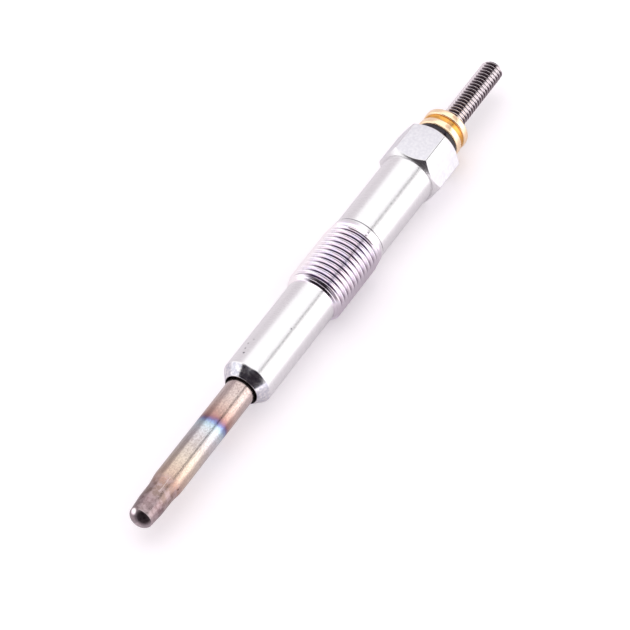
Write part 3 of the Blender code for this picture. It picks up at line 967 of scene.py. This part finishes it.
# %% Finish the insulating bush
plastic, wires, inputs, here = finish("black plastic", 0.0, IOR=1.5, Specular_IOR_Level=0.3)
cloud = wires.pattern(mottle, here, Size=0.8, Low=0.35, High=0.7)
flecks = wires.pattern(specks, here, Spacing=0.35, Share=0.35, Size=0.2)
colour = wires.lay(cloud, (0.011, 0.006, 0.013, 1), (0.018, 0.011, 0.020, 1))
colour = wires.lay(wires.times(flecks, 0.25), colour, (0.05, 0.04, 0.05, 1))
wires.put(inputs["Base Color"], colour)
wires.put(inputs["Roughness"], wires.line(cloud, 0.08, 0.13))
emboss(wires, inputs, wires.line(flecks, 0.5, cloud), 0.004)
dress(insulator, plastic)

# %% Make the finishes of the inner pieces
rubber, wires, inputs, here = finish("black rubber", 0.0)
cloud = wires.pattern(mottle, here, Size=0.4, Low=0.3, High=0.7)
colour = wires.lay(cloud, (0.022, 0.022, 0.024, 1), (0.050, 0.050, 0.053, 1))
wires.put(inputs["Base Color"], colour)
wires.put(inputs["Roughness"], wires.line(cloud, 0.15, 0.55))
emboss(wires, inputs, cloud, 0.006)

wire, wires, inputs, here = finish("resistance wire", 1.0)
oxide = wires.pattern(mottle, here, Size=0.5, Low=0.35, High=0.65)
drawn = wires.pattern(grain, here, Along=0.05, Round=0.6)
colour = wires.lay(oxide, (0.56, 0.53, 0.49, 1), (0.40, 0.34, 0.31, 1))
wires.put(inputs["Base Color"], colour)
wires.put(inputs["Roughness"], wires.line(drawn, 0.14, 0.30))
emboss(wires, inputs, drawn, 0.003)

powder, wires, inputs, here = finish("packed magnesia", 0.0)
lumps = wires.pattern(mottle, here, Size=0.22, Low=0.3, High=0.7)
grit = wires.pattern(specks, here, Spacing=0.18, Share=0.4, Size=0.3)
colour = wires.lay(lumps, (0.82, 0.80, 0.75, 1), (0.90, 0.89, 0.86, 1))
colour = wires.lay(wires.times(grit, 0.3), colour, (0.68, 0.65, 0.60, 1))
wires.put(inputs["Base Color"], colour)
wires.put(inputs["Roughness"], wires.line(lumps, 0.08, 0.88))
emboss(wires, inputs, wires.line(grit, 0.6, lumps), 0.020)

# %% Dress the inner pieces
for node, material in (
    ("o_ring", rubber),
    ("sheath_seal", rubber),
    ("heating_coil", wire),
    ("control_coil", wire),
    ("insulating_powder", powder),
):
    dress(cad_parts[node], material)

# %% [markdown]
# ## The table
#
# A sheet of white paper. Its own colour is a pale grey-white, as paper is, and a
# little glow that only the camera sees lifts it to the white of the background,
# while the plug's soft shadow stays. Mirror rays see a fainter glow, and a
# strong one on the right of the plug, where the window's light falls on the
# paper. That brightens the undersides of the shanks, as on the real table.

# %% Lay the paper
paper_half = 4.0
paper_corners = [
    (x * paper_half, y * paper_half, 0) for x, y in ((-1, -1), (1, -1), (1, 1), (-1, 1))
]
paper_mesh = bpy.data.meshes.new("table")
paper_mesh.from_pydata(paper_corners, [], [(0, 1, 2, 3)])
table = link("table", paper_mesh)
print("paper:", 2 * paper_half, "m square")

# %% Finish the paper
paper_lift = 0.27
mirror_lift = 0.10
window_glare = 0.75
glare_full, glare_gone = -45 * MM, -12 * MM
paper = bpy.data.materials.new("white paper")
paper.use_nodes = True
wires = Wires(paper.node_tree)
inputs = paper.node_tree.nodes["Principled BSDF"].inputs
inputs["Base Color"].default_value = (0.89, 0.84, 0.88, 1)
inputs["Roughness"].default_value = 0.9
inputs["Specular IOR Level"].default_value = 0.0
inputs["Emission Color"].default_value = (1, 1, 1, 1)
seen = wires.add("LightPath").outputs
mirrored = wires.most(seen["Is Glossy Ray"], seen["Is Transmission Ray"])
ground = wires.add("SeparateXYZ", {0: wires.add("TexCoord").outputs["Object"]}).outputs
lit_lift = mirror_lift + window_glare
glare = wires.fade(ground["Y"], glare_full, glare_gone, lit_lift, mirror_lift)
lift = wires.line(mirrored, glare, wires.times(seen["Is Camera Ray"], paper_lift))
wires.put(inputs["Emission Strength"], lift)
paper_mesh.materials.append(paper)

# %% [markdown]
# ## What the metal mirrors
#
# Polished metal has hardly any look of its own: it shows the room. So the room is
# drawn on the sky, as patches given by heading and height, and only mirror rays
# see it. There is a bright white tent all round, a strong low window on the right,
# a lilac-grey wall low at the back left, a narrow dark post between tent and
# window, and the dark side of the room behind the camera. Each leaves its own
# band along the shanks, and the dark room shades the cone, the hexagon's chamfer
# and the fronts of the thread. The post is given by its tilt about the plug's
# axis, from straight up towards the camera's side, so its reflection runs along
# the shanks as one thin line. All other light from the sky is an even white.

# %% Measure the sky
world = bpy.data.worlds.new("studio")
bpy.context.scene.world = world
world.use_nodes = True
wires = Wires(world.node_tree)
toward = wires.add("SeparateXYZ", {0: wires.add("TexCoord").outputs["Generated"]}).outputs
in_degrees = 180 / math.pi
minus_x = wires.times(toward["X"], -1.0)
minus_y = wires.times(toward["Y"], -1.0)
heading = wires.times(wires.calc("ARCTAN2", toward["Y"], minus_x), in_degrees)
height = wires.times(wires.calc("ARCSINE", toward["Z"]), in_degrees)
tilt = wires.times(wires.calc("ARCTAN2", minus_y, toward["Z"]), in_degrees)
SKY_SOFT = 2.0


def patch(left, right, low, high):
    """Share of a patch of sky, by heading and height in degrees.

    Heading 0 is the way the nose points, 90 is at the back left, and the camera
    stands at -31. The edges are soft by SKY_SOFT.
    """
    return wires.times(
        wires.between(heading, left, right, SKY_SOFT), wires.between(height, low, high, SKY_SOFT)
    )


# %% Draw the room on the sky
tent = (1.50, 1.49, 1.50, 1)
room = wires.lay(patch(112, 170, -30, 37.5), tent, (0.90, 0.84, 0.885, 1))
room = wires.lay(patch(-178, -78, -30, 39.0), room, (1.50, 1.48, 1.47, 1))
room = wires.lay(patch(-152, -100, -30, 30.0), room, (2.3, 2.27, 2.24, 1))
post = wires.times(wires.between(tilt, 32.2, 41.2, 0.6), wires.fade(toward["X"], 0.15, 0.3))
room = wires.lay(post, room, (0.03, 0.028, 0.036, 1))
dark_edge = wires.line(height, 1.3, -2.0)
before_edge = wires.fall(wires.calc("SUBTRACT", heading, dark_edge), -3.0, 3.0)
dark_side = wires.times(wires.fade(heading, -66, -56), before_edge)
dark_side = wires.times(dark_side, wires.fall(height, 52, 66))
room = wires.lay(dark_side, room, (0.035, 0.026, 0.034, 1))
print("the room is drawn with", len(world.node_tree.nodes), "nodes")

# %% Light the scene with the sky
ambient = 0.88
seen = wires.add("LightPath").outputs
background = world.node_tree.nodes["Background"].inputs
wires.put(background["Color"], wires.lay(seen["Is Glossy Ray"], (1, 0.985, 1, 1), room))
bright = wires.most(seen["Is Camera Ray"], seen["Is Glossy Ray"])
bright = wires.most(bright, seen["Is Transmission Ray"])
wires.put(background["Strength"], wires.fade(bright, 0.0, 1.0, ambient, 1.0))

# %% [markdown]
# ## Lamp
#
# One large soft lamp, high and a little to the back left, gives the shadow its
# side and its soft edge. Together with the sky it lights a white sheet to just
# under white.

# %% Hang the lamp
lamp_data = bpy.data.lights.new("key", "AREA")
lamp_data.shape = "SQUARE"
lamp_data.size = 1.3
lamp_data.energy = 3.5
lamp_data.color = (1.0, 1.0, 0.99)
lamp = link("key", lamp_data)
lamp_distance = 1.6
lamp_direction = Vector((0.12, 0.28, 0.95)).normalized()
lamp.location = lamp_direction * lamp_distance
lamp.rotation_mode = "QUATERNION"
lamp.rotation_quaternion = lamp_direction.to_track_quat("Z", "Y")
lamp.visible_glossy = False
print("lamp hangs", lamp_distance, "m from the plug")

# %% [markdown]
# ## The view transform
#
# The solids fix the plug's size. Colours are shown with the Standard view transform.

# %% Set the view transform
bpy.context.scene.view_settings.view_transform = "Standard"
